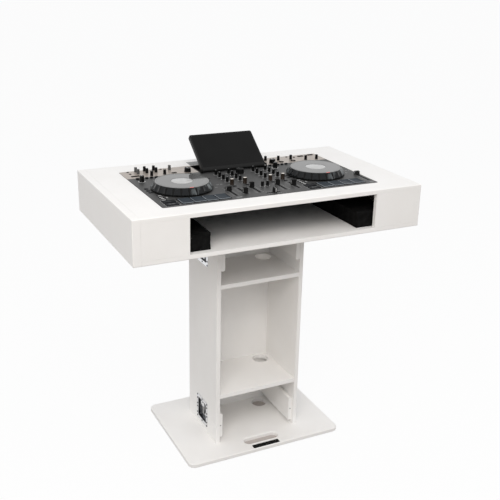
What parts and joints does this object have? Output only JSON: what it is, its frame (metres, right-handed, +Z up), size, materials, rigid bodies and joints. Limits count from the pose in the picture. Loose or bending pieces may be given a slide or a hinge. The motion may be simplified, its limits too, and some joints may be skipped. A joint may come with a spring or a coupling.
{
  "type": "dj booth",
  "caption": "Standing DJ booth: white table on an open column with shelves and a floor plate, recessed latches, and an inset player with jog wheels, faders, knobs and a tilting screen.",
  "frame": {"origin": "on the floor under the middle of the table", "axes": "+Z up, the player stands on the -Y side, +X to the player's right"},
  "size_m": [1.03, 0.608, 1.0785],
  "materials": {
    "white_laminate": "satin white laminate",
    "black_foam": "open-cell foam, black",
    "black_plate": "plain black",
    "plated_steel": "zinc plated",
    "black_steel": "black, satin",
    "tray_metal": "black, matte",
    "deck_face": "dark grey, matte",
    "rear_face": "champagne, brushed",
    "black_plastic": "matte",
    "button_plastic": "satin",
    "bush_metal": "turned",
    "pad_rubber": "matte",
    "jog_plastic": "gloss rim",
    "copper_plastic": "copper",
    "screen_glass": "gloss"
  },
  "bodies": {
    "booth": {"base_plate": "white_laminate", "base_badge": "black_plate", "base_socket": "white_laminate", "base_cleats": "white_laminate", "column_left_panel": "white_laminate", "column_right_panel": "white_laminate", "column_back_panel": "white_laminate", "column_upper_shelf": "white_laminate", "column_lower_shelf": "white_laminate", "table_socket": "white_laminate", "table_cleats": "white_laminate", "table_top_board": "white_laminate", "table_bottom_board": "white_laminate", "table_back_board": "white_laminate", "table_left_end": "white_laminate", "table_right_end": "white_laminate", "table_left_front": "white_laminate", "table_right_front": "white_laminate", "foam_rails": "black_foam", "latch_dishes": "plated_steel", "player_tray": "tray_metal", "player_faceplate": "deck_face", "player_rear_panel": "rear_face", "screen_well": "black_plastic", "jog_bushes": "bush_metal", "tone_knobs": "black_plastic", "rear_knobs": "black_plastic", "performance_pads": "pad_rubber"},
    "screen": {"screen_housing": "black_plastic", "screen_glass": "screen_glass"},
    "latch_cam_lower_left": {"latch_cam_lower_left": "plated_steel"},
    "latch_wing_lower_left": {"latch_wing_lower_left": "black_steel"},
    "latch_cam_lower_right": {"latch_cam_lower_right": "plated_steel"},
    "latch_wing_lower_right": {"latch_wing_lower_right": "black_steel"},
    "latch_cam_upper_left": {"latch_cam_upper_left": "plated_steel"},
    "latch_wing_upper_left": {"latch_wing_upper_left": "black_steel"},
    "latch_cam_upper_right": {"latch_cam_upper_right": "plated_steel"},
    "latch_wing_upper_right": {"latch_wing_upper_right": "black_steel"},
    "jog_wheel_left": {"jog_wheel_left": "jog_plastic"},
    "tempo_fader_left": {"tempo_fader_left": "black_plastic"},
    "cue_button_left": {"cue_button_left": "button_plastic"},
    "play_button_left": {"play_button_left": "button_plastic"},
    "deck_knob_left": {"deck_knob_left": "black_plastic"},
    "browse_knob_left": {"browse_knob_left": "black_plastic"},
    "jog_wheel_right": {"jog_wheel_right": "jog_plastic"},
    "tempo_fader_right": {"tempo_fader_right": "black_plastic"},
    "cue_button_right": {"cue_button_right": "button_plastic"},
    "play_button_right": {"play_button_right": "button_plastic"},
    "deck_knob_right": {"deck_knob_right": "black_plastic"},
    "browse_knob_right": {"browse_knob_right": "black_plastic"},
    "channel_fader_1": {"channel_fader_1": "black_plastic"},
    "filter_knob_1": {"filter_knob_1": "copper_plastic"},
    "channel_fader_2": {"channel_fader_2": "black_plastic"},
    "filter_knob_2": {"filter_knob_2": "copper_plastic"},
    "channel_fader_3": {"channel_fader_3": "black_plastic"},
    "filter_knob_3": {"filter_knob_3": "copper_plastic"},
    "channel_fader_4": {"channel_fader_4": "black_plastic"},
    "filter_knob_4": {"filter_knob_4": "copper_plastic"},
    "crossfader": {"crossfader": "black_plastic"},
    "effect_knob": {"effect_knob": "black_plastic"}
  },
  "joints": [
    {"name": "latch_cam_lower_left_turn", "type": "hinge", "parent": "booth", "child": "latch_cam_lower_left", "pos_m": [-0.1665, 0, 0.101], "axis": [1, 0, 0], "range_deg": [0, 90]},
    {"name": "latch_wing_lower_left_fold", "type": "hinge", "parent": "latch_cam_lower_left", "child": "latch_wing_lower_left", "pos_m": [-0.1641, 0, 0.101], "axis": [0, -1, 0], "range_deg": [0, 90]},
    {"name": "latch_cam_lower_right_turn", "type": "hinge", "parent": "booth", "child": "latch_cam_lower_right", "pos_m": [0.1665, 0, 0.101], "axis": [1, 0, 0], "range_deg": [0, 90]},
    {"name": "latch_wing_lower_right_fold", "type": "hinge", "parent": "latch_cam_lower_right", "child": "latch_wing_lower_right", "pos_m": [0.1641, 0, 0.101], "axis": [0, 1, 0], "range_deg": [0, 90]},
    {"name": "latch_cam_upper_left_turn", "type": "hinge", "parent": "booth", "child": "latch_cam_upper_left", "pos_m": [-0.1665, 0, 0.712], "axis": [1, 0, 0], "range_deg": [0, 90]},
    {"name": "latch_wing_upper_left_fold", "type": "hinge", "parent": "latch_cam_upper_left", "child": "latch_wing_upper_left", "pos_m": [-0.1641, 0, 0.712], "axis": [0, 1, 0], "range_deg": [0, 90]},
    {"name": "latch_cam_upper_right_turn", "type": "hinge", "parent": "booth", "child": "latch_cam_upper_right", "pos_m": [0.1665, 0, 0.712], "axis": [1, 0, 0], "range_deg": [0, 90]},
    {"name": "latch_wing_upper_right_fold", "type": "hinge", "parent": "latch_cam_upper_right", "child": "latch_wing_upper_right", "pos_m": [0.1641, 0, 0.712], "axis": [0, -1, 0], "range_deg": [0, 90]},
    {"name": "screen_tilt", "type": "hinge", "parent": "booth", "child": "screen", "pos_m": [0, 0.10599, 0.977], "axis": [1, 0, 0], "range_deg": [-30, 15]},
    {"name": "jog_wheel_left_spin", "type": "hinge", "parent": "booth", "child": "jog_wheel_left", "pos_m": [-0.259, -0.04701, 0.97], "axis": [0, 0, 1], "continuous": true},
    {"name": "tempo_fader_left_slide", "type": "slide", "parent": "booth", "child": "tempo_fader_left", "axis": [0, 1, 0], "range_m": [-0.0621, 0.0279]},
    {"name": "cue_button_left_press", "type": "slide", "parent": "booth", "child": "cue_button_left", "axis": [0, 0, -1], "range_m": [0, 0.0015], "stiffness_N_per_m": 400, "springref_m": -0.0005},
    {"name": "play_button_left_press", "type": "slide", "parent": "booth", "child": "play_button_left", "axis": [0, 0, -1], "range_m": [0, 0.0015], "stiffness_N_per_m": 400, "springref_m": -0.0005},
    {"name": "deck_knob_left_turn", "type": "hinge", "parent": "booth", "child": "deck_knob_left", "pos_m": [-0.354, 0.07699, 0.97], "axis": [0, 0, 1], "range_deg": [-150, 150]},
    {"name": "browse_knob_left_turn", "type": "hinge", "parent": "booth", "child": "browse_knob_left", "pos_m": [-0.163, 0.14299, 0.97], "axis": [0, 0, 1], "continuous": true},
    {"name": "jog_wheel_right_spin", "type": "hinge", "parent": "booth", "child": "jog_wheel_right", "pos_m": [0.245, -0.04701, 0.97], "axis": [0, 0, 1], "continuous": true},
    {"name": "tempo_fader_right_slide", "type": "slide", "parent": "booth", "child": "tempo_fader_right", "axis": [0, 1, 0], "range_m": [-0.0756, 0.0144]},
    {"name": "cue_button_right_press", "type": "slide", "parent": "booth", "child": "cue_button_right", "axis": [0, 0, -1], "range_m": [0, 0.0015], "stiffness_N_per_m": 400, "springref_m": -0.0005},
    {"name": "play_button_right_press", "type": "slide", "parent": "booth", "child": "play_button_right", "axis": [0, 0, -1], "range_m": [0, 0.0015], "stiffness_N_per_m": 400, "springref_m": -0.0005},
    {"name": "deck_knob_right_turn", "type": "hinge", "parent": "booth", "child": "deck_knob_right", "pos_m": [0.15, 0.07699, 0.97], "axis": [0, 0, 1], "range_deg": [-150, 150]},
    {"name": "browse_knob_right_turn", "type": "hinge", "parent": "booth", "child": "browse_knob_right", "pos_m": [0.173, 0.14299, 0.97], "axis": [0, 0, 1], "continuous": true},
    {"name": "channel_fader_1_slide", "type": "slide", "parent": "booth", "child": "channel_fader_1", "axis": [0, 1, 0], "range_m": [-0.01122, 0.05478]},
    {"name": "filter_knob_1_turn", "type": "hinge", "parent": "booth", "child": "filter_knob_1", "pos_m": [-0.0875, -0.06631, 0.97], "axis": [0, 0, 1], "range_deg": [-150, 150]},
    {"name": "channel_fader_2_slide", "type": "slide", "parent": "booth", "child": "channel_fader_2", "axis": [0, 1, 0], "range_m": [-0.06336, 0.00264]},
    {"name": "filter_knob_2_turn", "type": "hinge", "parent": "booth", "child": "filter_knob_2", "pos_m": [-0.0395, -0.06631, 0.97], "axis": [0, 0, 1], "range_deg": [-150, 150]},
    {"name": "channel_fader_3_slide", "type": "slide", "parent": "booth", "child": "channel_fader_3", "axis": [0, 1, 0], "range_m": [-0.0627, 0.0033]},
    {"name": "filter_knob_3_turn", "type": "hinge", "parent": "booth", "child": "filter_knob_3", "pos_m": [0.0565, -0.06631, 0.97], "axis": [0, 0, 1], "range_deg": [-150, 150]},
    {"name": "channel_fader_4_slide", "type": "slide", "parent": "booth", "child": "channel_fader_4", "axis": [0, 1, 0], "range_m": [-0.03762, 0.02838]},
    {"name": "filter_knob_4_turn", "type": "hinge", "parent": "booth", "child": "filter_knob_4", "pos_m": [0.1045, -0.06631, 0.97], "axis": [0, 0, 1], "range_deg": [-150, 150]},
    {"name": "crossfader_slide", "type": "slide", "parent": "booth", "child": "crossfader", "axis": [1, 0, 0], "range_m": [-0.0264, 0.0176]},
    {"name": "effect_knob_turn", "type": "hinge", "parent": "booth", "child": "effect_knob", "pos_m": [0, 0.05769, 0.97], "axis": [0, 0, 1], "range_deg": [-150, 150]}
  ]
}
